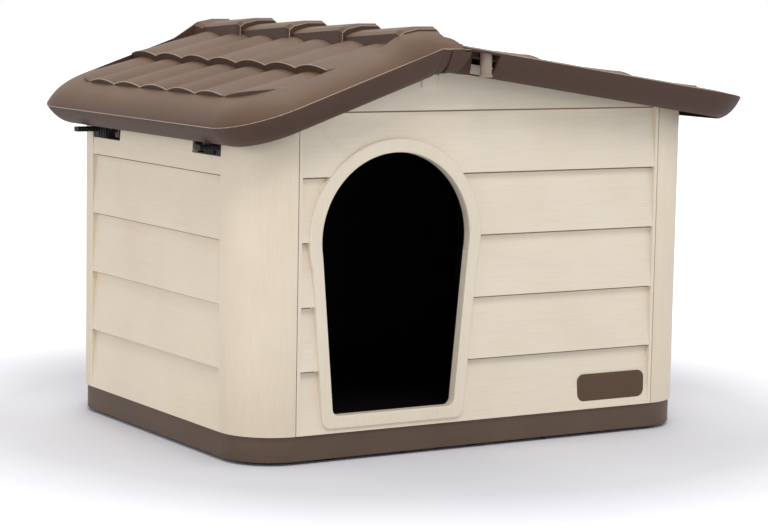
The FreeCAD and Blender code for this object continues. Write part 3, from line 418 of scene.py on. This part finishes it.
def on_slope(side, u, v, w):
    """Flat roof coordinates (up the slope, along the eave, square to it) to the frame."""
    sign = 1 if side == "left" else -1
    c, s = math.cos(SLOPE[side]), math.sin(SLOPE[side])
    u, v, w = np.broadcast_arrays(u, v, w)
    return np.stack([EAVE[side] + sign * (u * c - w * s), v, RIM_Z[side] + u * s + w * c], axis=-1)


# Painted highlight: a light brown for the rods that stand for the light caught along the roof's edges.
highlight_bead_plastic, tree, shader, place, colour = brown_plastic(
    "painted_highlight_plastic", ("#9A8777", "#A5927F", "#AF9C8A"), "Y", 0.0, 0.42, 0.02, 0.0001)
tree.links.new(colour, shader.inputs["Base Color"])


def rim_path(side, last):
    """The rim at the front, round the two eave corners (u = c - r sin a, v = c - r cos a), and at the rear."""
    turn = np.linspace(0, np.pi / 2, 12)
    centre = ROOF_CORNER - GABLE
    radius = ROOF_CORNER - RIM_INSET
    u = np.concatenate([np.linspace(last, ROOF_CORNER, 30), ROOF_CORNER - radius * np.sin(turn),
                        ROOF_CORNER - radius * np.cos(turn), np.linspace(ROOF_CORNER, last, 30)])
    v = np.concatenate([np.full(30, RIM_INSET - GABLE), centre - radius * np.cos(turn),
                        -centre + radius * np.sin(turn), np.full(30, GABLE - RIM_INSET)])
    keep = np.concatenate([[True], np.hypot(np.diff(u), np.diff(v)) > 1e-6])
    return on_slope(side, u[keep], v[keep], 0.0002)


def end_path(side, start_u, crown, dip, half, columns=7):
    """The scalloped end of a tile row: w = crown - dip * (2p - 1)^2 over each column's phase p."""
    v = np.linspace(-half, half, 40 * columns + 1)
    phase = (v + half) / (2 * half) * columns % 1
    w = crown - dip * (2 * phase - 1) ** 2
    return on_slope(side, np.full_like(v, start_u), v, w)


# %% Rims
left_rim = rim_path("left", (abs(HINGE_X - EAVE["left"]) - 0.0114) / math.cos(SLOPE_LEFT))
bar_end = np.array([[HINGE_X + 0.0205, RIM_INSET - GABLE, HINGE_Z + BAR_LEVEL]])
left_rim = np.concatenate([bar_end, left_rim, bar_end * (1, -1, 1)])
piece("rim_highlight_left", [rod(left_rim, 0.0006)], highlight_bead_plastic, "left_half")
right_rim = rim_path("right", (abs(HINGE_X - EAVE["right"]) - 0.016) / math.cos(SLOPE_RIGHT))
piece("rim_highlight_right", [rod(right_rim, 0.0005)], highlight_bead_plastic, "right_half")

# %% Tile row ends
FIELD_HALF = GABLE - 0.0306
FIELD_CORNER = 0.0600
TILE_DIP = 0.0042


def tile_highlights(side, starts, crown, radius):
    """Painted highlight rods along a half's tile rows, kept inside the field's rounded corners."""
    rows = []
    for start_u in starts:
        into = max(FIELD_CORNER - (start_u - starts[0]), 0)
        trim = FIELD_CORNER - math.sqrt(FIELD_CORNER ** 2 - into ** 2)
        path = end_path(side, start_u, crown, TILE_DIP, FIELD_HALF)
        path = path[np.abs(path[:, 1]) < FIELD_HALF - trim - 0.001]
        rows.append(rod(path, radius, 6))
    piece("tile_highlight_" + side, rows, highlight_bead_plastic, side + "_half")


tile_highlights("left", (0.0366, 0.1155), 0.0200, 0.0006)
tile_highlights("right", (0.0340, 0.1462, 0.2584), 0.0066, 0.0004)

# %% Ridge tile edges
CAP_EDGE = np.array([(-0.0420, 0.0020), (-0.0420, 0.0130), (-0.0372, 0.0165), (-0.0222, 0.0198),
                     (-0.0024, 0.0198), (0.0018, 0.0162)])
CAP_START, CAP_PITCH, CAP_STEPS = 0.0276, 0.1032, 31
corner = np.arange(len(CAP_EDGE))
along = np.linspace(0, len(CAP_EDGE) - 1, CAP_STEPS)
edges = []
for k in range(4):
    edge_x = np.interp(along, corner, HINGE_X + CAP_EDGE[:, 0])
    edge_z = np.interp(along, corner, HINGE_Z + CAP_EDGE[:, 1])
    edge_y = np.full(CAP_STEPS, -GABLE + CAP_START + CAP_PITCH * k)
    edges.append(rod(np.stack([edge_x, edge_y, edge_z], axis=1), 0.0005, 6))
piece("cap_highlight", edges, highlight_bead_plastic, "left_half")

# %% [markdown]
# ## The studio
# A pale floor and four soft lamps: one high in front, one above, and a weaker
# one on each side. The backdrop is the world itself: it lights the object
# softly and is plain white to the camera and in reflections. Away from the
# object the floor is lifted to white for the camera alone.

# %% Studio
def lamp(name, position, aim, size, power):
    """A soft round lamp that looks at a point."""
    data = bpy.data.lights.new(name, "AREA")
    data.shape = "DISK"
    data.size = size
    data.energy = power
    light = bpy.data.objects.new(name, data)
    light.location = position
    light.rotation_euler = (Vector(aim) - Vector(position)).to_track_quat("-Z", "Y").to_euler()
    bpy.context.scene.collection.objects.link(light)


def seen_white(tree):
    """1 for rays from the camera, a mirror or a glass, 0 for light on the object."""
    path = add(tree, "LightPath")
    seen = calc(tree, "MAXIMUM", path.outputs["Is Camera Ray"], path.outputs["Is Glossy Ray"])
    return calc(tree, "MAXIMUM", seen, path.outputs["Is Transmission Ray"])


WORLD_LIGHT = 0.68
world = bpy.data.worlds.new("studio")
world.use_nodes = True
bpy.context.scene.world = world
tree = world.node_tree
background = tree.nodes["Background"]
background.inputs["Color"].default_value = (1, 1, 1, 1)
strength = add(tree, "MapRange", {"Value": seen_white(tree), "To Min": WORLD_LIGHT, "To Max": 1.0})
tree.links.new(strength.outputs["Result"], background.inputs["Strength"])

floor_material, tree, shader, place = start("studio_floor", 0.9)
speckle = add(tree, "TexNoise", {"Vector": place, "Scale": 3.0}).outputs["Fac"]
pale = ramp(tree, speckle, [(0.3, linear("#DEDEE4")), (0.7, linear("#E4E4E9"))])
tree.links.new(pale, shader.inputs["Base Color"])
FLOOR_LIFT = 0.7
shader.inputs["Emission Color"].default_value = (1, 1, 1, 1)
away = add(tree, "VectorMath", {0: place}, operation="LENGTH").outputs["Value"]
far = add(tree, "MapRange", {"Value": away, "From Min": 0.4, "From Max": 0.85, "To Min": 0.0,
                             "To Max": FLOOR_LIFT}).outputs["Result"]
lift = calc(tree, "MULTIPLY", add(tree, "LightPath").outputs["Is Camera Ray"], far)
tree.links.new(lift, shader.inputs["Emission Strength"])
floor_mesh = bpy.data.meshes.new("floor")
reach = 14.0
corners = [(-reach, -reach), (reach, -reach), (reach, reach), (-reach, reach)]
floor_mesh.from_pydata([(x, y, -0.0005) for x, y in corners], [], [(0, 1, 2, 3)])
floor_mesh.materials.append(floor_material)
floor = bpy.data.objects.new("floor", floor_mesh)
bpy.context.scene.collection.objects.link(floor)
lamp("key_lamp", (-0.8, -1.8, 2.7), (0, 0, 0.2), 1.2, 30.5)
lamp("top_lamp", (0.4, 0.9, 2.6), (0, 0, 0.2), 1.6, 15.3)
lamp("fill_lamp", (2.2, -1.6, 1.0), (0, 0, 0.2), 1.4, 6.5)
lamp("side_lamp", (-2.6, -0.6, 0.7), (0, 0, 0.2), 1.2, 7.8)
